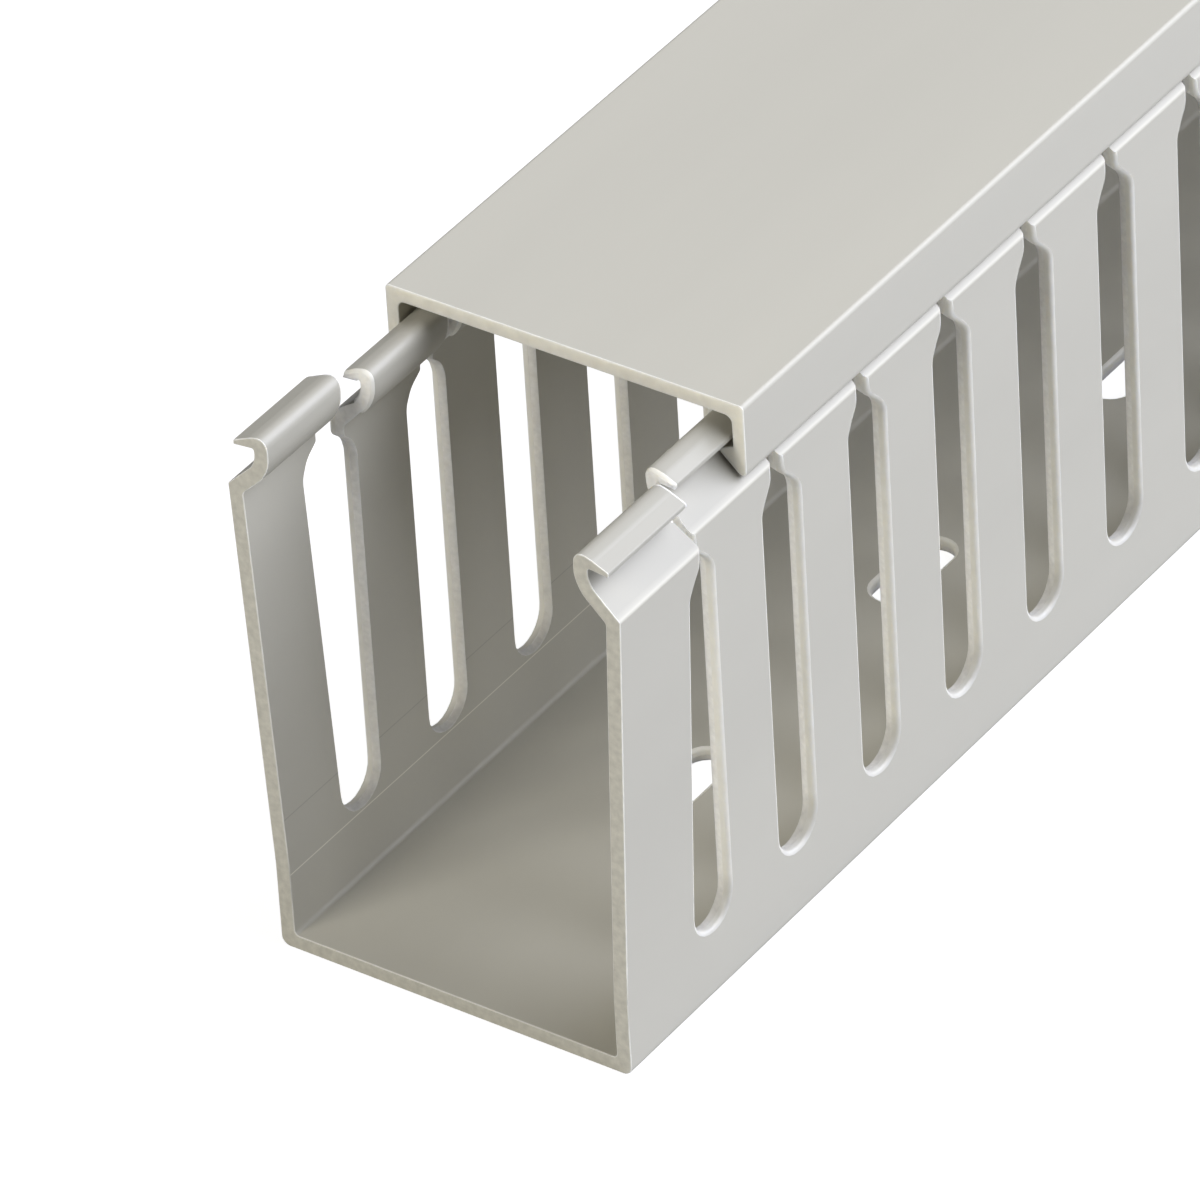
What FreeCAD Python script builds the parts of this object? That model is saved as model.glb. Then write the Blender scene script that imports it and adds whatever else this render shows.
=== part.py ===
import FreeCAD, Part
import math
import os

# Slotted wire duct, 50 x 75 mm class: an open-slot channel and its clip-on cover, in millimetres.
# X runs across the duct, +Y along it from the near sawn end, +Z up.
# The origin is the middle of the channel's underside. Places along the duct are given from its
# near end and moved to that origin when the pieces are written.

# channel
length = 500.0
outer_width = 50.0
wall = 2.0
floor = 2.0
outer_corner_radius = 1.2
inner_corner_radius = 2.0
crease_height = 66.1

# hook along the top of every finger
hook_angle = 42.0
hook_bend_radius = 3.0
notch_depth = 4.35
notch_height = 0.75
lip_reach = 2.0
lip_tip = 0.6
lip_droop = 0.2
lip_slope_angle = 21.0
hook_top_chamfer = 0.9

# side slots and the fingers between them; each side is punched by a tool of its own
slot_pitch = 18.0
slot_width = 8.0
right_slot_start = 18.0
right_slot_floor = 9.6
right_neck_lead = 0.6
left_slot_start = 15.1
left_slot_floor = 11.2
left_neck_lead = -0.5
neck_gap = 2.6
neck_drop = 2.3
shoulder_drop = 5.8
shoulder_radius = 3.6
end_finger_least = 4.0

# the two end fingers stand sprung outwards where the cover does not hold them
sprung_out = 2.3
sprung_hinge = 0.6

# oblong fixing holes along the floor
hole_pitch = 50.0
hole_width = 6.0
hole_length = 15.0
hole_start = 48.5

# cover
cover_setback = 29.3
cover_rise = 11.1
cover_top = 1.9
cover_leg = 1.7
cover_outer_radius = 0.6
cover_inner_radius = 1.0
barb_clearance = 0.35
barb_reach = 3.7
barb_back = 0.9
barb_tip = 0.3
barb_foot_radius = 0.5

# The cover is sold at the channel's length and sits on the hooks; the necks lie under the crease.
cover_length = length
cover_height = crease_height + cover_rise
neck_height = crease_height - neck_drop
shoulder_height = crease_height - shoulder_drop

half = outer_width / 2
slope = math.radians(hook_angle)
deepest = notch_depth + 2 * wall


def line(a, b):
    return Part.LineSegment(a, b).toShape()


def arc(a, middle, b):
    return Part.Arc(a, middle, b).toShape()


def at(across, height):
    return FreeCAD.Vector(across, 0, height)


def fillet(corner, before, after, radius):
    """Return the start, middle and end of a round of this radius at a corner."""
    to_before = (before - corner).normalize()
    to_after = (after - corner).normalize()
    half_angle = to_before.getAngle(to_after) / 2
    run = radius / math.tan(half_angle)
    centre = corner + (to_before + to_after).normalize() * (radius / math.sin(half_angle))
    middle = centre + (corner - centre).normalize() * radius
    return corner + to_before * run, middle, corner + to_after * run


def outline(corners):
    """Join corners, each a point with its rounding radius, into a closed wire."""
    count = len(corners)
    edges = []
    starts = []
    for index in range(count):
        corner, radius = corners[index]
        before = corners[index - 1][0]
        after = corners[(index + 1) % count][0]
        if radius > 0:
            starts.append(fillet(corner, before, after, radius))
        else:
            starts.append((corner, None, corner))
    for index in range(count):
        start, middle, end = starts[index]
        following = starts[(index + 1) % count][0]
        if middle is not None:
            edges.append(arc(start, middle, end))
        if end.distanceToPoint(following) > 1e-6:
            edges.append(line(end, following))
    return Part.Wire(edges)


def prism(wire, start, end):
    face = Part.Face(wire)
    face.translate(FreeCAD.Vector(0, start, 0))
    return face.extrude(FreeCAD.Vector(0, end - start, 0))


# The hook's outer face climbs from the crease at hook_angle and bends upright at the notch.
# "inset" is the distance inwards from the wall's outer face.
bend_inset = notch_depth - hook_bend_radius
bend_start = bend_inset + hook_bend_radius * math.sin(slope)
bend_height = crease_height + bend_start * math.tan(slope) + hook_bend_radius * math.cos(slope)
lip_underside = bend_height + notch_height
lip_low = lip_underside - lip_droop
hook_back = notch_depth + wall
lip_slope = math.tan(math.radians(lip_slope_angle))
lip_top = lip_low + lip_tip + (hook_back - lip_reach) * lip_slope


def diagonal_height(inset):
    """Height of the hook's outer face above the crease, on its straight and its bent stretch."""
    if inset <= bend_start:
        return crease_height + inset * math.tan(slope)
    rise = math.sqrt(hook_bend_radius ** 2 - (inset - bend_inset) ** 2)
    return bend_height - rise


def wall_corners(hinge, lean):
    """Corners of one wall: outer face up, hook, inner face down, leaning out above the hinge."""
    foot = wall / math.cos(slope)
    inner_crease = crease_height + wall * math.tan(slope) - foot
    back_bend = crease_height + hook_back * math.tan(slope) - foot
    points = [
        ((0, crease_height), 0),
        ((notch_depth, diagonal_height(bend_start) + (notch_depth - bend_start) * math.tan(slope)),
         hook_bend_radius),
        ((notch_depth, lip_underside), 0),
        ((lip_reach, lip_low), 0),
        ((lip_reach, lip_low + lip_tip), 0),
        ((hook_back - hook_top_chamfer, lip_top - hook_top_chamfer * lip_slope), 0),
        ((hook_back, lip_top - hook_top_chamfer), 0),
        ((hook_back, back_bend), hook_bend_radius + wall),
        ((wall, inner_crease), 0),
    ]
    placed = []
    for (inset, height), radius in points:
        rise = height - hinge
        across = half - inset * math.cos(lean) + rise * math.sin(lean)
        placed.append((at(across, hinge + inset * math.sin(lean) + rise * math.cos(lean)), radius))
    if lean > 0:
        placed.insert(0, (at(half, hinge), 0))
        placed.append((at(half - wall, hinge + wall * math.tan(lean / 2)), 0))
    return placed


def half_section(hinge, lean):
    """The right half of the channel: half the floor, the corner, the wall and its hook."""
    corners = [(at(0, 0), 0), (at(half, 0), outer_corner_radius)]
    corners += wall_corners(hinge, lean)
    corners.append((at(half - wall, floor), inner_corner_radius))
    corners.append((at(0, floor), 0))
    return outline(corners)


def half_channel(first_neck, slot_floor):
    """Half of the channel, its end finger sprung out as far as the first neck."""
    hinge = slot_floor + sprung_hinge
    lean = math.atan2(sprung_out, crease_height - hinge)
    sprung = prism(half_section(hinge, lean), 0, first_neck)
    return sprung.fuse(prism(half_section(hinge, 0), first_neck, length))


def slot_cutter(centre, slot_floor, neck_lead, inner, outer):
    """The punch for one side slot: round foot, straight sides, shoulders and a narrow neck."""
    radius = slot_width / 2
    near = centre - radius
    far = centre + radius
    neck_near = centre - neck_lead - neck_gap / 2
    neck_far = neck_near + neck_gap
    foot_height = slot_floor + radius
    above = cover_height + wall

    def on_wall(along, height):
        return FreeCAD.Vector(0, along, height)

    foot = arc(on_wall(near, foot_height), on_wall(centre, slot_floor), on_wall(far, foot_height))
    sides = outline([
        (on_wall(near, foot_height), 0),
        (on_wall(far, foot_height), 0),
        (on_wall(far, shoulder_height), shoulder_radius),
        (on_wall(neck_far, neck_height), 0),
        (on_wall(neck_far, above), 0),
        (on_wall(neck_near, above), 0),
        (on_wall(neck_near, neck_height), 0),
        (on_wall(near, shoulder_height), shoulder_radius),
    ])
    face = Part.Face(Part.Wire([foot] + sides.Edges[1:]))
    face.translate(FreeCAD.Vector(inner, 0, 0))
    return face.extrude(FreeCAD.Vector(outer - inner, 0, 0))


def slot_centres(start):
    """Slots follow at the pitch as long as a finger is left before the far end."""
    centres = []
    centre = start
    while centre + slot_width / 2 + end_finger_least <= length:
        centres.append(centre)
        centre += slot_pitch
    return centres


def oblong_hole(centre):
    """One fixing hole, lengthwise, through the floor."""
    radius = hole_width / 2
    run = (hole_length - hole_width) / 2
    level = -floor
    near_left = FreeCAD.Vector(-radius, centre - run, level)
    near_right = FreeCAD.Vector(radius, centre - run, level)
    far_left = FreeCAD.Vector(-radius, centre + run, level)
    far_right = FreeCAD.Vector(radius, centre + run, level)
    edges = [
        arc(near_left, FreeCAD.Vector(0, centre - hole_length / 2, level), near_right),
        line(near_right, far_right),
        arc(far_right, FreeCAD.Vector(0, centre + hole_length / 2, level), far_left),
        line(far_left, near_left),
    ]
    return Part.Face(Part.Wire(edges)).extrude(FreeCAD.Vector(0, 0, 3 * floor))


def hole_centres():
    centres = []
    centre = hole_start
    while centre + hole_length <= length:
        centres.append(centre)
        centre += hole_pitch
    return centres


def base_channel():
    """U-channel with hooked walls, slotted along both sides and pierced along the floor."""
    across = FreeCAD.Vector(1, 0, 0)
    right_half = half_channel(right_slot_start - right_neck_lead, right_slot_floor)
    left_half = half_channel(left_slot_start - left_neck_lead, left_slot_floor)
    body = right_half.fuse(left_half.mirror(FreeCAD.Vector(0, 0, 0), across))
    cutters = []
    for centre in slot_centres(right_slot_start):
        cutters.append(slot_cutter(centre, right_slot_floor, right_neck_lead,
                                   half - deepest, half + deepest))
    for centre in slot_centres(left_slot_start):
        cutters.append(slot_cutter(centre, left_slot_floor, left_neck_lead,
                                   -half - deepest, -half + deepest))
    for centre in hole_centres():
        cutters.append(oblong_hole(centre))
    return body.cut(Part.makeCompound(cutters)).removeSplitter()


def cover_corners():
    """Half of the cover's section: top, leg and the barb that hooks under the lip."""
    lift = barb_clearance / math.cos(slope)
    leg_inside = half - cover_leg
    tip_inside = half - barb_reach
    tip_low = diagonal_height(barb_reach) + lift
    tip_high = tip_low + barb_tip
    return [
        (at(half, cover_height), cover_outer_radius),
        (at(half, crease_height + lift), barb_foot_radius),
        (at(tip_inside, tip_low), 0),
        (at(tip_inside, tip_high), 0),
        (at(leg_inside, tip_high + barb_back), 0),
        (at(leg_inside, cover_height - cover_top), cover_inner_radius),
    ]


def cover():
    right = cover_corners()
    left = [(at(-point.x, point.z), radius) for point, radius in reversed(right)]
    return prism(outline(right + left), cover_setback, cover_setback + cover_length)


os.makedirs("parts", exist_ok=True)
for name, shape in (("base_channel", base_channel()), ("cover", cover())):
    shape.translate(FreeCAD.Vector(0, -length / 2, 0))
    shape.exportStep("parts/" + name + ".step")
    box = shape.BoundBox
    print(name, "valid", shape.isValid(), "solids", len(shape.Solids), "faces", len(shape.Faces))
    print("  volume", round(shape.Volume, 1), "across", round(box.XMin, 2), round(box.XMax, 2),
          "along", round(box.YMin, 2), round(box.YMax, 2), "up", round(box.ZMin, 2), round(box.ZMax, 2))
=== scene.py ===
import math

import bmesh
import bpy
from mathutils import Matrix, Vector


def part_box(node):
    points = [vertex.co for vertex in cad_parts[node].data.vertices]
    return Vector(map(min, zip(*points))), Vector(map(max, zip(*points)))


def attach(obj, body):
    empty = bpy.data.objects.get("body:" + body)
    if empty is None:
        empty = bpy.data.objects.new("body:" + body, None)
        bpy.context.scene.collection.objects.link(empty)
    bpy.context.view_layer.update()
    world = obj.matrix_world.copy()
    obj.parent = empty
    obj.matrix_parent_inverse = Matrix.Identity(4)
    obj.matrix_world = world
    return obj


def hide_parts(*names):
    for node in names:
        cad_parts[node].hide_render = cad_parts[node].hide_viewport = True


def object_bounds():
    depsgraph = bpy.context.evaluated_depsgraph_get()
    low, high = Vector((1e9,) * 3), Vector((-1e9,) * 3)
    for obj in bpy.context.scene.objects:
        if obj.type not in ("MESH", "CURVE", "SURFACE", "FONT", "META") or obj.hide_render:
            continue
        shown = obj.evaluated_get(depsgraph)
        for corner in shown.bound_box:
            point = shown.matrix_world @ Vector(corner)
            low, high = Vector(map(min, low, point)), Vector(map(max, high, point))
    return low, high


mm = 0.001
tiny = 1e-7

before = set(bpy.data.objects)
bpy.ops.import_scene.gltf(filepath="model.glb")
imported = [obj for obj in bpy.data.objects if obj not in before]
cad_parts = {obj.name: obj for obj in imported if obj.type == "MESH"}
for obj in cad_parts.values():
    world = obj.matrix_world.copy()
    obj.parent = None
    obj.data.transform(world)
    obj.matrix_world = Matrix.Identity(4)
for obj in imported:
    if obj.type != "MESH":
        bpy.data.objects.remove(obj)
cadLow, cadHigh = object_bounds()
channelLow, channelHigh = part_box("base_channel")
coverLow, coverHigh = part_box("cover")
half = coverHigh.x  # the cover's legs stand flush with the channel's outer faces
nearEnd = channelLow.y
farEnd = channelHigh.y
print("frame loaded, channel", round(farEnd - nearEnd, 4), "m long")

# all in mm, along the duct from its near sawn end
channelSizes = {
    "wall": 2.0,
    "floor": 2.0,
    "outerCorner": 1.2,
    "innerCorner": 0.6,
    "crease": 66.1,
    "hookAngle": 42.0,
    "hookBend": 3.0,
    "notchDepth": 4.35,
    "notchHeight": 0.75,
    "lipReach": 2.0,
    "lipTip": 0.6,
    "lipDroop": 0.2,
    "lipSlope": 21.0,
    "hookTop": 1.4,
    "hookFoot": 0.8,
    "slotPitch": 18.0,
    "slotWidth": 8.0,
    "neckGap": 2.6,
    "neckDrop": 2.3,  # neck and shoulder heights are given below the crease
    "shoulderDrop": 5.8,
    "shoulderRound": 3.0,
    "neckTorn": 0.25,  # the torn band keeps a sharp corner under the neck
    "endFinger": 4.0,
    "rollOut": 0.28,  # rounded-over edge where the punch enters, outside the slot's width
    "rollIn": 0.28,
    "rollDepth": 0.5,
    "shearDepth": 1.0,  # bright cut band, then the torn band to the inner face
    "tearStep": 0.05,
    "sawnEdge": 0.14,
    "tornEdge": 0.2,
    "holePitch": 50.0,
    "holeStart": 48.5,
    "holeWidth": 6.0,
    "holeLength": 15.0,
    "sprungOut": 2.3,
    "sprungHinge": 0.6,  # above the slots' feet
    "hookRoll": 0.35,  # how far the hook's skin is drawn in at a neck, and over what length
    "hookRollRun": 1.0,
    "hookRollSteps": (1.0, 0.5, 0.18),  # where that length is divided, from its far end
    "hookRollFoot": 1.2,  # it starts this far above the crease
    "sprungLip": 0.5,  # the free lips reach further out than those under the cover
    "lipInset": 3.0,  # what is nearer the outer face, and higher above the crease, is lip
    "lipAbove": 5.0,
}

sideShare = 0.6  # beyond this share of the half width lie a wall and its hooks
cornerSteps = 6
brokenAngle = 0.6  # radians; a flatter fold between two finishes stays whole
smoothAngle = 32  # degrees

# right and left row: first slot, height of the slots' feet, how far the necks lie nearer,
# how the shoulders bulge and meet the necks, and how a neck's two edges slant, mm per mm upwards
slotRows = {
    1: {"start": 18.0, "foot": 9.6, "lead": 0.6, "bulge": 0.1, "neckRound": 2.2, "slant": (0.0, -0.08)},
    -1: {"start": 15.1, "foot": 11.2, "lead": -0.5, "bulge": 0.6, "neckRound": 0.6, "slant": (0.09, 0.05)},
}

coverSizes = {
    "top": 1.9,
    "leg": 1.7,
    "outerCorner": 0.6,
    "innerCorner": 1.0,
    "clearance": 0.35,
    "barbReach": 3.7,
    "barbBack": 0.9,
    "barbTip": 0.3,
    "barbFoot": 0.75,
}

# screen colours, 0 to 255
finish = {
    "skin": (195, 192, 179),
    "shear": (237, 235, 225),
    "tear": (240, 238, 231),
    "sawn": (212, 209, 195),
    "coverCut": (238, 235, 223),
}


def linear(color):
    # a screen colour, 0 to 255, as the shader's linear colour
    values = [channel / 255 for channel in color]
    return [v / 12.92 if v <= 0.04045 else ((v + 0.055) / 1.055) ** 2.4 for v in values] + [1]


def grown(corners, grow):
    # offsets a counterclockwise outline; inside corners lose what outside corners gain in radius
    points = [Vector(point) for point, radius in corners]
    result = []
    for i, (point, radius) in enumerate(corners):
        before = (points[i] - points[i - 1]).normalized()
        after = (points[(i + 1) % len(points)] - points[i]).normalized()
        outBefore = Vector((before.y, -before.x))
        outAfter = Vector((after.y, -after.x))
        shift = (outBefore + outAfter) * (grow / (1 + outBefore.dot(outAfter)))
        if radius > 0:
            radius += grow if before.cross(after) > 0 else -grow
        result.append((tuple(points[i] + shift), radius))
    return result


def roundedFace(bm, corners, place, steps):
    # a flat face whose corners are bevelled to their radii
    points = [Vector(point) for point, radius in corners]
    known = set(bm.faces)
    verts = [bm.verts.new(place(*point)) for point in points]
    bm.faces.new(verts)
    for i, (point, radius) in enumerate(corners):
        if radius > 0:
            before = points[i - 1] - points[i]
            after = points[(i + 1) % len(points)] - points[i]
            run = radius * mm / math.tan(before.angle(after) / 2)
            bmesh.ops.bevel(bm, geom=[verts[i]], offset=run, offset_type="OFFSET", affect="VERTICES",
                            segments=steps, profile=0.5, material=-1)
    face = next(f for f in bm.faces if f not in known)
    bmesh.ops.remove_doubles(bm, verts=face.verts, dist=tiny)
    return next(f for f in bm.faces if f not in known)


def hookCorners():
    # one wall from the crease up over the hook and down inside, as inset and height in mm
    s = channelSizes
    slope = math.radians(s["hookAngle"])
    bendInset = s["notchDepth"] - s["hookBend"]
    bendStart = bendInset + s["hookBend"] * math.sin(slope)
    bendHeight = s["crease"] + bendStart * math.tan(slope) + s["hookBend"] * math.cos(slope)
    lipUnder = bendHeight + s["notchHeight"]
    lipLow = lipUnder - s["lipDroop"]
    hookBack = s["notchDepth"] + s["wall"]
    lipRise = (hookBack - s["lipReach"]) * math.tan(math.radians(s["lipSlope"]))
    lipTop = lipLow + s["lipTip"] + lipRise
    foot = s["wall"] / math.cos(slope)
    bend = s["crease"] + s["notchDepth"] * math.tan(slope)
    return [
        ((0, s["crease"]), 0.4),
        ((s["notchDepth"], bend), s["hookBend"]),
        ((s["notchDepth"], lipUnder), 0.3),
        ((s["lipReach"], lipLow), 0.12),
        ((s["lipReach"], lipLow + s["lipTip"]), 0.25),
        ((s["lipReach"] + 1.6, lipLow + s["lipTip"] + 0.9), 2.5),
        ((hookBack, lipTop), s["hookTop"]),
        ((hookBack, s["crease"] + hookBack * math.tan(slope) - foot), s["hookBend"] + s["wall"]),
        ((s["wall"], s["crease"] + s["wall"] * math.tan(slope) - foot), s["hookFoot"]),
    ]


def mirrored(rightSide):
    # closes a section given for its right side, going round counterclockwise
    left = [((-x, z), radius) for (x, z), radius in reversed(rightSide)]
    return rightSide + left


def channelSection():
    s = channelSizes
    width = half / mm
    right = [((width, 0), s["outerCorner"])]
    right += [((width - inset, height), radius) for (inset, height), radius in hookCorners()]
    right.append(((width - s["wall"], s["floor"]), s["innerCorner"]))
    return mirrored(right)


def coverSection():
    s, c = coverSizes, channelSizes
    slope = math.radians(c["hookAngle"])
    lift = s["clearance"] / math.cos(slope)
    width = half / mm
    top = coverHigh.z / mm
    bendInset = c["notchDepth"] - c["hookBend"]
    bendStart = bendInset + c["hookBend"] * math.sin(slope)
    bendHeight = c["crease"] + bendStart * math.tan(slope) + c["hookBend"] * math.cos(slope)
    rise = math.sqrt(c["hookBend"] ** 2 - (s["barbReach"] - bendInset) ** 2)
    tipLow = bendHeight - rise + lift
    right = [
        ((width - s["leg"], top - s["top"]), s["innerCorner"]),
        ((width - s["leg"], tipLow + s["barbTip"] + s["barbBack"]), 0.2),
        ((width - s["barbReach"], tipLow + s["barbTip"]), 0),
        ((width - s["barbReach"], tipLow), 0),
        ((width, c["crease"] + lift), s["barbFoot"]),
        ((width, top), s["outerCorner"]),
    ]
    return mirrored(right)


def slotCorners(centre, row, neckRound):
    s = channelSizes
    radius = s["slotWidth"] / 2
    neckNear = centre - row["lead"] - s["neckGap"] / 2
    neckFar = neckNear + s["neckGap"]
    neck = s["crease"] - s["neckDrop"]
    shoulder = s["crease"] - s["shoulderDrop"]
    above = coverHigh.z / mm + s["wall"]

    def between(side, top):
        # the middle of a shoulder, pushed out of the straight line
        run = Vector((side - top, shoulder - neck))
        out = Vector((run.y, -run.x)).normalized() * (row["bulge"] * (1 if side < top else -1))
        return ((side + top) / 2 + out.x, (shoulder + neck) / 2 + out.y)

    return [
        ((centre - radius, row["foot"]), radius),
        ((centre + radius, row["foot"]), radius),
        ((centre + radius, shoulder), s["shoulderRound"]),
        (between(centre + radius, neckFar), s["shoulderRound"]),
        ((neckFar, neck), neckRound),
        ((neckFar + row["slant"][1] * (above - neck), above), 0),
        ((neckNear + row["slant"][0] * (above - neck), above), 0),
        ((neckNear, neck), neckRound),
        (between(centre - radius, neckNear), s["shoulderRound"]),
        ((centre - radius, shoulder), s["shoulderRound"]),
    ]


def punchStations():
    # depth below the punched face, how far the cut has opened there, and the band it leaves
    s = channelSizes
    width = s["rollOut"] + s["rollIn"]
    depth = s["rollDepth"]
    stations = [(-1.0, s["rollOut"] + 1.0, 1)]
    for angle in (10, 32, 52, 72, 90):
        turn = math.radians(angle)
        stations.append((depth * (1 - math.cos(turn)), s["rollOut"] - width * math.sin(turn), 1))
    stations.append((s["shearDepth"], -s["rollIn"], 1))
    stations.append((s["shearDepth"] + 0.04, s["tearStep"] - s["rollIn"], 2))
    stations.append((s["wall"], 0, 2))
    return stations


def punch(bm, corners, tornCorners, place, stations):
    # bridges the outline through its stations; each band keeps its own material
    rings = []
    caps = []
    for depth, grow, band in stations:
        outline = tornCorners if band == 2 else corners
        face = roundedFace(bm, grown(outline, grow), lambda u, v: place(u, v, depth), cornerSteps)
        rings.append(list(face.edges))
        caps.append(face)
    for face in caps[1:-1]:
        bm.faces.remove(face)
    caps[0].material_index = 0
    caps[-1].material_index = stations[-1][2]
    for i in range(1, len(rings)):
        made = bmesh.ops.bridge_loops(bm, edges=rings[i - 1] + rings[i])
        for face in made["faces"]:
            face.material_index = stations[i][2]


def rowOf(start):
    s = channelSizes
    centres = []
    centre = start
    while centre + s["slotWidth"] / 2 + s["endFinger"] <= (farEnd - nearEnd) / mm:
        centres.append(centre)
        centre += s["slotPitch"]
    return centres


def holeRow():
    s = channelSizes
    centres = []
    centre = s["holeStart"]
    while centre + s["holeLength"] <= (farEnd - nearEnd) / mm:
        centres.append(centre)
        centre += s["holePitch"]
    return centres


def repeatAlong(bm, one, shifts):
    # copies one punch to every place in its row
    mesh = bpy.data.meshes.new("onePunch")
    one.to_mesh(mesh)
    one.free()
    for shift in shifts:
        known = len(bm.verts)
        bm.from_mesh(mesh)
        bm.verts.ensure_lookup_table()
        bmesh.ops.translate(bm, verts=bm.verts[known:], vec=(0, shift * mm, 0))
    bpy.data.meshes.remove(mesh)


def allPunches():
    bm = bmesh.new()
    s = channelSizes
    stations = punchStations()
    slotStations = stations + [(s["notchDepth"] + 2 * s["wall"], 0, 2)]
    for side, row in slotRows.items():
        def wallPlace(along, height, depth, side=side):
            return Vector((side * (half - depth * mm), nearEnd + along * mm, height * mm))
        one = bmesh.new()
        corners = slotCorners(row["start"], row, row["neckRound"])
        tornCorners = slotCorners(row["start"], row, s["neckTorn"])
        punch(one, corners, tornCorners, wallPlace, slotStations)
        repeatAlong(bm, one, [centre - row["start"] for centre in rowOf(row["start"])])

    def floorPlace(across, along, depth):
        return Vector((across * mm, nearEnd + along * mm, (s["floor"] - depth) * mm))

    one = bmesh.new()
    x = s["holeWidth"] / 2
    near = s["holeStart"] - s["holeLength"] / 2
    far = near + s["holeLength"]
    corners = [((-x, near), x), ((x, near), x), ((x, far), x), ((-x, far), x)]
    punch(one, corners, corners, floorPlace, stations + [(s["floor"] + 1, 0, 2)])
    repeatAlong(bm, one, [centre - s["holeStart"] for centre in holeRow()])
    bmesh.ops.recalc_face_normals(bm, faces=bm.faces)
    return bm


def bar(corners, start, end, sawnIndex):
    # a section drawn out along the duct, its sawn ends in their own material
    bm = bmesh.new()
    face = roundedFace(bm, corners, lambda x, z: Vector((x * mm, start, z * mm)), cornerSteps)
    made = bmesh.ops.extrude_face_region(bm, geom=[face])
    far = [v for v in made["geom"] if isinstance(v, bmesh.types.BMVert)]
    bmesh.ops.translate(bm, verts=far, vec=(0, end - start, 0))
    bmesh.ops.recalc_face_normals(bm, faces=bm.faces)
    bm.normal_update()
    for face in bm.faces:
        if abs(face.normal.y) > 0.9:
            face.material_index = sawnIndex
    return bm


def asObject(bm, name, materials):
    mesh = bpy.data.meshes.new(name)
    bm.to_mesh(mesh)
    bm.free()
    for material in materials:
        mesh.materials.append(material)
    made = bpy.data.objects.new(name, mesh)
    bpy.context.scene.collection.objects.link(made)
    return made


def putInOrder(mesh):
    # the boolean hands its parts over in any order, and the edge operators' results depend on it
    bm = bmesh.new()
    bm.from_mesh(mesh)
    bm.verts.sort(key=lambda v: v.co.x + 7.3 * v.co.y + 53.9 * v.co.z)
    bm.verts.index_update()
    rings = []
    for face in bm.faces:
        ring = [v.index for v in face.verts]
        first = ring.index(min(ring))
        rings.append((ring[first:] + ring[:first], face.material_index))
    ordered = bmesh.new()
    verts = [ordered.verts.new(v.co) for v in bm.verts]
    for ring, material in sorted(rings):
        ordered.faces.new([verts[i] for i in ring]).material_index = material
    ordered.to_mesh(mesh)
    ordered.free()
    bm.free()


def cutAway(body, cutter):
    boolean = body.modifiers.new("punched", "BOOLEAN")
    boolean.operation = "DIFFERENCE"
    boolean.solver = "EXACT"
    boolean.material_mode = "INDEX"
    boolean.object = cutter
    evaluated = body.evaluated_get(bpy.context.evaluated_depsgraph_get())
    cut = bpy.data.meshes.new_from_object(evaluated)
    body.modifiers.clear()
    plain = body.data
    putInOrder(cut)
    body.data = cut
    bpy.data.meshes.remove(plain)
    bpy.data.objects.remove(cutter)


def breakEdges(bm, one, other, width):
    # the pale broken edge between two finishes
    edges = [e for e in bm.edges if len(e.link_faces) == 2 and e.calc_face_angle(0) > brokenAngle
             and {f.material_index for f in e.link_faces} == {one, other}]
    bmesh.ops.bevel(bm, geom=edges, offset=width * mm, offset_type="OFFSET", affect="EDGES",
                    segments=2, profile=0.5, material=1, clamp_overlap=True)


def geomOf(faces):
    # each corner, edge and face once, always in the same order
    verts = dict.fromkeys(v for f in faces for v in f.verts)
    edges = dict.fromkeys(e for f in faces for e in f.edges)
    return list(verts) + list(edges) + list(faces)


def bisect(bm, faces, point, normal):
    parts = bmesh.ops.bisect_plane(bm, geom=geomOf(faces), dist=tiny, plane_co=point, plane_no=normal)
    return [f for f in parts["geom"] if isinstance(f, bmesh.types.BMFace)]


def rollHooks(bm, side, row):
    # at every neck the hook's skin curves in over the last millimetre, pale where it was stretched
    s = channelSizes
    run = s["hookRollRun"] * mm
    neckHeight = (s["crease"] - s["neckDrop"]) * mm
    lowest = (s["crease"] + s["hookRollFoot"]) * mm
    upward = Vector((side * 0.2, 0, 0.98))  # what faces the other way, the lip's underside, stays
    hooks = [f for f in bm.faces if side * f.calc_center_median().x > half * sideShare
             and f.calc_center_median().z > lowest and abs(f.normal.y) < 0.5]
    reach = {f: (min(v.co.y for v in f.verts), max(v.co.y for v in f.verts)) for f in hooks}
    for centre in rowOf(row["start"]):
        neck = nearEnd + (centre - row["lead"]) * mm
        for way, slant in zip((-1, 1), row["slant"]):
            cut = neck + way * s["neckGap"] / 2 * mm

            def fromCut(point, cut=cut, way=way, slant=slant):
                return (point.y - cut - slant * (point.z - neckHeight)) * way

            middle = cut + way * 2 * run
            near = [f for f in hooks if f.is_valid and reach[f][0] < middle < reach[f][1]]
            for share in s["hookRollSteps"]:
                near = bisect(bm, near, (0, cut + way * run * share, neckHeight), (0, 1, -slant))
            moves = {}
            for face in near:
                depth = fromCut(face.calc_center_median())
                if not -1e-6 < depth < run:
                    continue
                if depth < 0.5 * run:
                    face.material_index = 1
                for v in face.verts:
                    if v.co.z > lowest:
                        moves[v] = moves.get(v, Vector()) + Vector((face.normal.x, 0, face.normal.z))
            for v, outward in moves.items():
                left = 1 - min(1, max(0, fromCut(v.co) / run))
                if outward.length > 0 and outward.normalized().dot(upward) > -0.9:
                    v.co -= outward.normalized() * s["hookRoll"] * mm * (1 - math.sqrt(1 - left * left))


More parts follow.
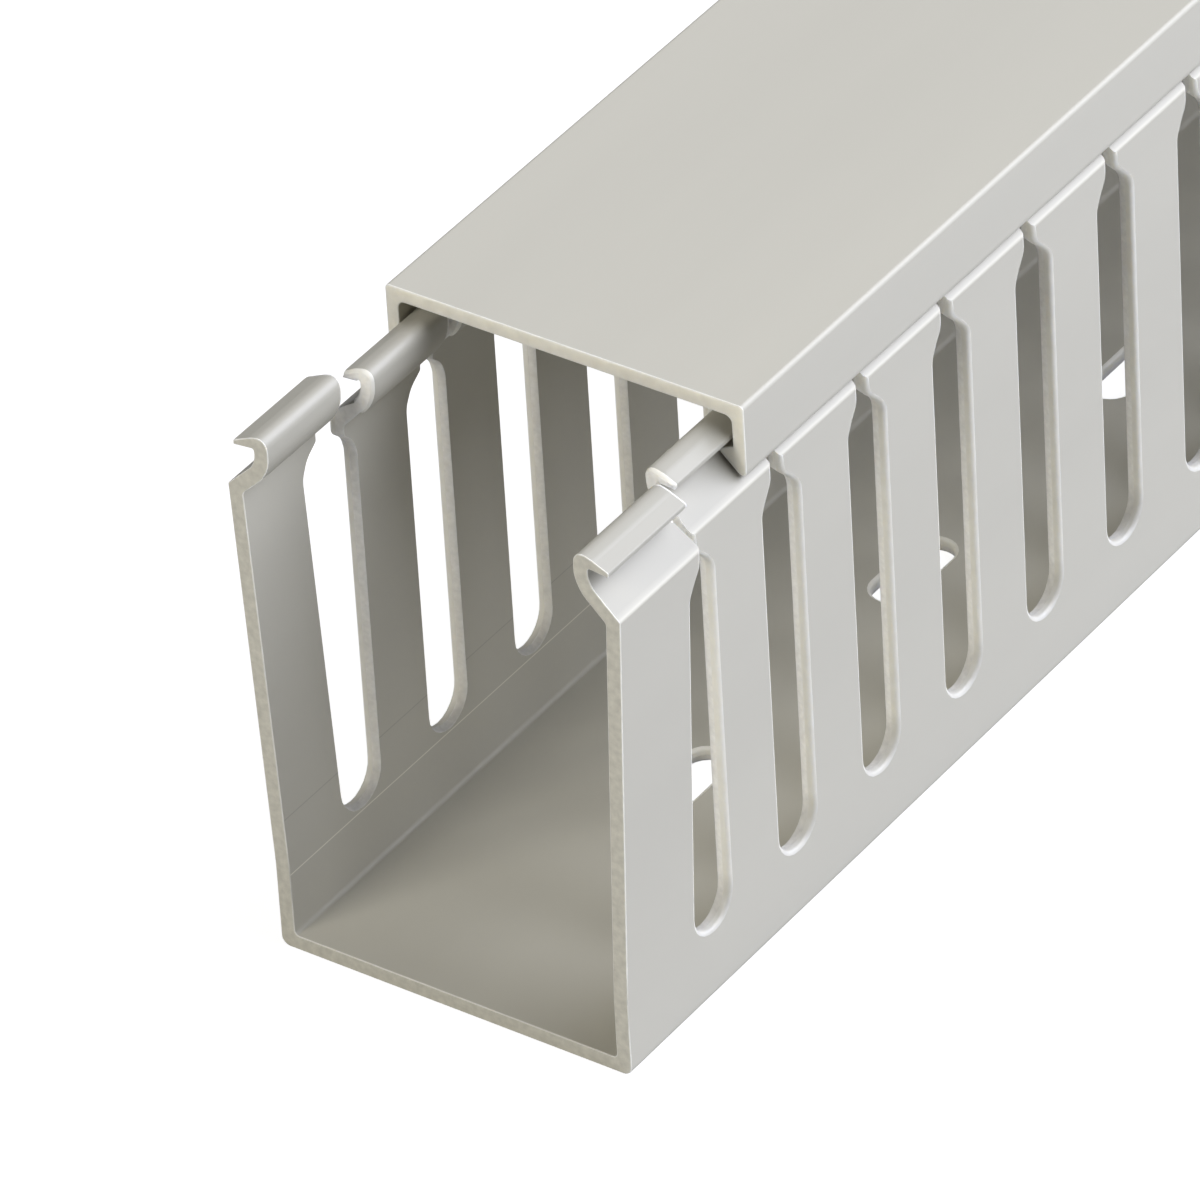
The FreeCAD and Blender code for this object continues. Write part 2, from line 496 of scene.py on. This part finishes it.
def springEndFinger(bm, side, row):
    # the end finger leans outwards about a line just above the slots' feet
    s = channelSizes
    hinge = (row["foot"] + s["sprungHinge"]) * mm
    lean = math.atan2(s["sprungOut"] * mm, s["crease"] * mm - hinge)
    splitAt = nearEnd + (row["start"] - row["lead"]) * mm
    onSide = [f for f in bm.faces if side * f.calc_center_median().x > half * sideShare]
    bisect(bm, onSide, Vector((0, splitAt, 0)), Vector((0, 1, 0)))
    onSide = [f for f in bm.faces if side * f.calc_center_median().x > half * sideShare
              and f.calc_center_median().y < splitAt]
    bisect(bm, onSide, Vector((0, 0, hinge)), Vector((0, 0, 1)))
    leaning = [v for v in bm.verts if side * v.co.x > half * sideShare and v.co.y < splitAt
               and v.co.z > hinge + 1e-6]
    lip = [v for v in leaning if side * v.co.x > half - s["lipInset"] * mm
           and v.co.z > (s["crease"] + s["lipAbove"]) * mm]
    bmesh.ops.translate(bm, verts=lip, vec=(side * s["sprungLip"] * mm, 0, 0))
    turn = Matrix.Rotation(side * lean, 3, "Y")
    bmesh.ops.rotate(bm, cent=(side * half, 0, hinge), matrix=turn, verts=leaning)


def softenShading(body, angle):
    bm = bmesh.new()
    bm.from_mesh(body.data)
    for face in bm.faces:
        face.smooth = True
    for edge in bm.edges:
        edge.smooth = len(edge.link_faces) == 2 and edge.calc_face_angle(0) < math.radians(angle)
    bm.to_mesh(body.data)
    bm.free()
    weighted = body.modifiers.new("even shading", "WEIGHTED_NORMAL")
    weighted.weight = 80
    weighted.keep_sharp = True


def nodesFor(name):
    material = bpy.data.materials.new(name)
    material.use_nodes = True
    return material, material.node_tree.nodes, material.node_tree.links


def stripe(nodes, links, axis, centre, reach, full):
    # 1 within this full share of the line's reach, fading to 0 at the reach
    away = nodes.new("ShaderNodeMath")
    away.operation = "SUBTRACT"
    away.inputs[1].default_value = centre * mm
    links.new(axis, away.inputs[0])
    distance = nodes.new("ShaderNodeMath")
    distance.operation = "ABSOLUTE"
    links.new(away.outputs[0], distance.inputs[0])
    fade = nodes.new("ShaderNodeMapRange")
    fade.inputs["From Min"].default_value = reach * mm
    fade.inputs["From Max"].default_value = full * reach * mm
    links.new(distance.outputs[0], fade.inputs["Value"])
    return fade.outputs["Result"]


def combine(nodes, links, operation, one, other):
    node = nodes.new("ShaderNodeMath")
    node.operation = operation
    for socket, value in zip(node.inputs, (one, other)):
        if isinstance(value, bpy.types.NodeSocket):
            links.new(value, socket)
        else:
            socket.default_value = value
    return node.outputs[0]


def pvc(name, color, roughness, clouds, contrast, grain, stretch=1.0, marks=(), glow=0):
    # rigid PVC: clouds in the colour, a fine bump, lines and painted shade laid on the walls, and in cut
    # faces light that has spread this many mm through the wall
    material, nodes, links = nodesFor(name)
    shader = nodes["Principled BSDF"]
    shader.inputs["IOR"].default_value = 1.5
    if glow > 0:
        shader.inputs["Subsurface Weight"].default_value = 1.0
        shader.inputs["Subsurface Radius"].default_value = (1.0, 0.97, 0.9)
        shader.inputs["Subsurface Scale"].default_value = glow * mm
    place = nodes.new("ShaderNodeTexCoord").outputs["Object"]
    scaled = nodes.new("ShaderNodeMapping")
    scaled.inputs["Scale"].default_value = (1, stretch, 1)
    links.new(place, scaled.inputs["Vector"])
    cloud = nodes.new("ShaderNodeTexNoise")
    cloud.inputs["Scale"].default_value = clouds
    cloud.inputs["Detail"].default_value = 5
    links.new(scaled.outputs["Vector"], cloud.inputs["Vector"])
    tint = nodes.new("ShaderNodeMapRange")
    tint.inputs["From Min"].default_value = 0.25
    tint.inputs["From Max"].default_value = 0.75
    tint.inputs["To Min"].default_value = 1 - contrast
    tint.inputs["To Max"].default_value = 1 + contrast
    links.new(cloud.outputs["Fac"], tint.inputs["Value"])
    shadeOf = tint.outputs["Result"]
    axes = nodes.new("ShaderNodeSeparateXYZ")
    links.new(place, axes.inputs["Vector"])
    for mark in marks:
        across = axes.outputs["X"]
        if mark["bothSides"]:
            across = combine(nodes, links, "ABSOLUTE", across, 0)
        onWall = stripe(nodes, links, across, mark["across"], mark["depth"], mark["full"])
        onLine = stripe(nodes, links, axes.outputs["Z"], mark["height"], mark["width"], mark["full"])
        both = combine(nodes, links, "MULTIPLY", onWall, onLine)
        change = combine(nodes, links, "MULTIPLY", both, mark["change"])
        shadeOf = combine(nodes, links, "ADD", shadeOf, change)
    shade = nodes.new("ShaderNodeVectorMath")
    shade.operation = "SCALE"
    shade.inputs[0].default_value = linear(color)[:3]
    links.new(shadeOf, shade.inputs["Scale"])
    links.new(shade.outputs["Vector"], shader.inputs["Base Color"])
    gloss = nodes.new("ShaderNodeMapRange")
    gloss.inputs["To Min"].default_value = roughness - 0.05
    gloss.inputs["To Max"].default_value = roughness + 0.05
    links.new(cloud.outputs["Fac"], gloss.inputs["Value"])
    links.new(gloss.outputs["Result"], shader.inputs["Roughness"])
    fine = nodes.new("ShaderNodeTexNoise")
    fine.inputs["Scale"].default_value = 2600
    fine.inputs["Detail"].default_value = 3
    links.new(place, fine.inputs["Vector"])
    bump = nodes.new("ShaderNodeBump")
    bump.inputs["Strength"].default_value = 0.3
    bump.inputs["Distance"].default_value = grain * mm
    links.new(fine.outputs["Fac"], bump.inputs["Height"])
    links.new(bump.outputs["Normal"], shader.inputs["Normal"])
    return material


def wallMark(across, depth, height, width, change, bothSides=True, full=0.4):
    # a line or band at this place on the walls, in mm, and how much lighter or darker it is
    return {"across": across, "depth": depth, "height": height, "width": width, "change": change,
            "bothSides": bothSides, "full": full}


# the whitened crease, painted shade on the hooks, and the die's score lines low on the left wall's inner
# face
linesAndPaintedShade = [
    wallMark(across=26.0, depth=2.6, height=channelSizes["crease"], width=0.3, change=0.14),
    # painted shade: the hooks are painted darker to hold back the key lamp's reflection on their slopes
    wallMark(across=22.0, depth=8.0, height=71.3, width=5.0, change=-0.16, full=0.9),
    wallMark(across=-23.1, depth=0.5, height=10.8, width=0.12, change=0.5, bothSides=False),
    wallMark(across=-23.1, depth=0.5, height=18.7, width=0.12, change=-0.2, bothSides=False),
]

# painted shade: the slots' feet face up into the key lamp and are painted darker than their sides
paintedShadeOnFeet = [wallMark(across=24.0, depth=6.0, height=9.8, width=5.5, change=-0.28, full=0.25)]

# the channel's skin carries the painted shade on the hooks, the cover's skin does not
skin = pvc("channelSkinWithPaintedShade", finish["skin"], roughness=0.42, clouds=40, contrast=0.03, stretch=0.1,
           grain=0.01, marks=linesAndPaintedShade)
plainSkin = pvc("coverSkin", finish["skin"], roughness=0.42, clouds=40, contrast=0.03, stretch=0.1,
                grain=0.01)
# the punched and torn bands carry the painted shade on the slots' feet
shear = pvc("punchedBand", finish["shear"], roughness=0.4, clouds=500, contrast=0.04, grain=0.02,
            marks=paintedShadeOnFeet, glow=0.8)
tear = pvc("tornBand", finish["tear"], roughness=0.65, clouds=1300, contrast=0.08, grain=0.12,
           marks=paintedShadeOnFeet, glow=1.3)
sawn = pvc("sawnEnd", finish["sawn"], roughness=0.65, clouds=1000, contrast=0.14, grain=0.06)
coverCut = pvc("coverCut", finish["coverCut"], roughness=0.5, clouds=700, contrast=0.06, grain=0.03,
               glow=0.8)
channelMaterials = [skin, shear, tear, sawn]
coverMaterials = [plainSkin, shear, tear, coverCut]

channel = asObject(bar(channelSection(), nearEnd, farEnd, 3), "channel", channelMaterials)
punches = asObject(allPunches(), "punches", channelMaterials)
cutAway(channel, punches)
print("channel punched, faces", len(channel.data.polygons))

bm = bmesh.new()
bm.from_mesh(channel.data)
breakEdges(bm, 0, 3, channelSizes["sawnEdge"])
for side, row in slotRows.items():
    rollHooks(bm, side, row)
breakEdges(bm, 0, 2, channelSizes["tornEdge"])
for side, row in slotRows.items():
    springEndFinger(bm, side, row)
bm.to_mesh(channel.data)
print("edges broken, triangles", sum(len(face.verts) - 2 for face in bm.faces))
bm.free()
softenShading(channel, smoothAngle)
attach(channel, "base")
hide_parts("base_channel")

cover = bar(coverSection(), coverLow.y, coverHigh.y, 3)
breakEdges(cover, 0, 3, channelSizes["sawnEdge"])
coverSkin = asObject(cover, "coverSkin", coverMaterials)
softenShading(coverSkin, smoothAngle)
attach(coverSkin, "lid")
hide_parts("cover")
print("cover drawn")

studio = {
    "floorSide": 6.0,
    "floorColor": (170, 170, 170),
    "floorLift": 0.85,
    "worldStrength": 0.06,
    "key": {"place": (1.2, 1.1, 1.3), "size": (2.4, 2.0), "level": 1.93, "tint": (0.96, 0.99, 1.12)},
    "front": {"place": (-0.4, -1.35, 0.95), "size": (0.8, 0.8), "level": 0.54, "tint": (1.03, 1.0, 0.94)},
}

cameraPlace = {
    "lens": 355.05,
    "sensor": 36.0,
    "azimuth": 36.357,
    "elevation": 35.925,
    "roll": -3.591,
    "distance": 1.38685,
    "target": (-0.27, 33.91, 37.92),  # mm from the near end
}


def addFloor():
    bm = bmesh.new()
    bmesh.ops.create_grid(bm, x_segments=1, y_segments=1, size=studio["floorSide"] / 2)
    material, nodes, links = nodesFor("studioFloor")
    shader = nodes["Principled BSDF"]
    shader.inputs["Base Color"].default_value = linear(studio["floorColor"])
    shader.inputs["Roughness"].default_value = 0.9
    shader.inputs["Specular IOR Level"].default_value = 0.1
    shader.inputs["Emission Color"].default_value = (1, 1, 1, 1)
    seen = nodes.new("ShaderNodeLightPath")
    lift = nodes.new("ShaderNodeMath")
    lift.operation = "MULTIPLY"
    lift.inputs[1].default_value = studio["floorLift"]
    links.new(seen.outputs["Is Camera Ray"], lift.inputs[0])
    links.new(lift.outputs[0], shader.inputs["Emission Strength"])
    ground = asObject(bm, "studioGround", [material])
    ground.location.z = cadLow.z


def addWorld():
    world = bpy.data.worlds.new("studio")
    bpy.context.scene.world = world
    world.use_nodes = True
    nodes, links = world.node_tree.nodes, world.node_tree.links
    seen = nodes.new("ShaderNodeLightPath")
    whiteFor = nodes.new("ShaderNodeMath")
    whiteFor.operation = "MAXIMUM"
    links.new(seen.outputs["Is Camera Ray"], whiteFor.inputs[0])
    links.new(seen.outputs["Is Transmission Ray"], whiteFor.inputs[1])
    strength = nodes.new("ShaderNodeMapRange")
    strength.inputs["To Min"].default_value = studio["worldStrength"]
    strength.inputs["To Max"].default_value = 1.0
    links.new(whiteFor.outputs[0], strength.inputs["Value"])
    background = nodes["Background"]
    background.inputs["Color"].default_value = (1, 1, 1, 1)
    links.new(strength.outputs["Result"], background.inputs["Strength"])


def addSoftbox(name):
    # placed from the near end; level 1 lights a facing white surface to white
    box = studio[name]
    aim = Vector((0, nearEnd + 0.05, 0.04))
    place = Vector((0, nearEnd, 0)) + Vector(box["place"])
    light = bpy.data.lights.new(name + "Softbox", "AREA")
    light.shape = "RECTANGLE"
    light.size, light.size_y = box["size"]
    light.color = box["tint"]
    light.energy = box["level"] * (math.pi * (aim - place).length) ** 2
    lamp = bpy.data.objects.new(name + "Softbox", light)
    lamp.location = place
    lamp.rotation_mode = "QUATERNION"
    lamp.rotation_quaternion = (aim - place).to_track_quat("-Z", "Y")
    bpy.context.scene.collection.objects.link(lamp)


def addCamera():
    c = cameraPlace
    azimuth, elevation = math.radians(c["azimuth"]), math.radians(c["elevation"])
    back = Vector((math.sin(azimuth) * math.cos(elevation), -math.cos(azimuth) * math.cos(elevation),
                   math.sin(elevation)))
    level = Vector((math.cos(azimuth), math.sin(azimuth), 0))
    upright = back.cross(level)
    roll = math.radians(c["roll"])
    right = level * math.cos(roll) + upright * math.sin(roll)
    up = upright * math.cos(roll) - level * math.sin(roll)
    target = Vector(c["target"]) * mm + Vector((0, nearEnd, 0))
    data = bpy.data.cameras.new("photoCamera")
    data.lens = c["lens"]
    data.sensor_width = c["sensor"]
    camera = bpy.data.objects.new("photoCamera", data)
    turn = Matrix((right, up, back)).transposed().to_4x4()
    camera.matrix_world = Matrix.Translation(target + back * c["distance"]) @ turn
    bpy.context.scene.collection.objects.link(camera)
    bpy.context.scene.camera = camera


addFloor()
addWorld()
for softbox in ("key", "front"):
    addSoftbox(softbox)
addCamera()
bpy.context.scene.view_settings.view_transform = "Standard"
print("studio set")
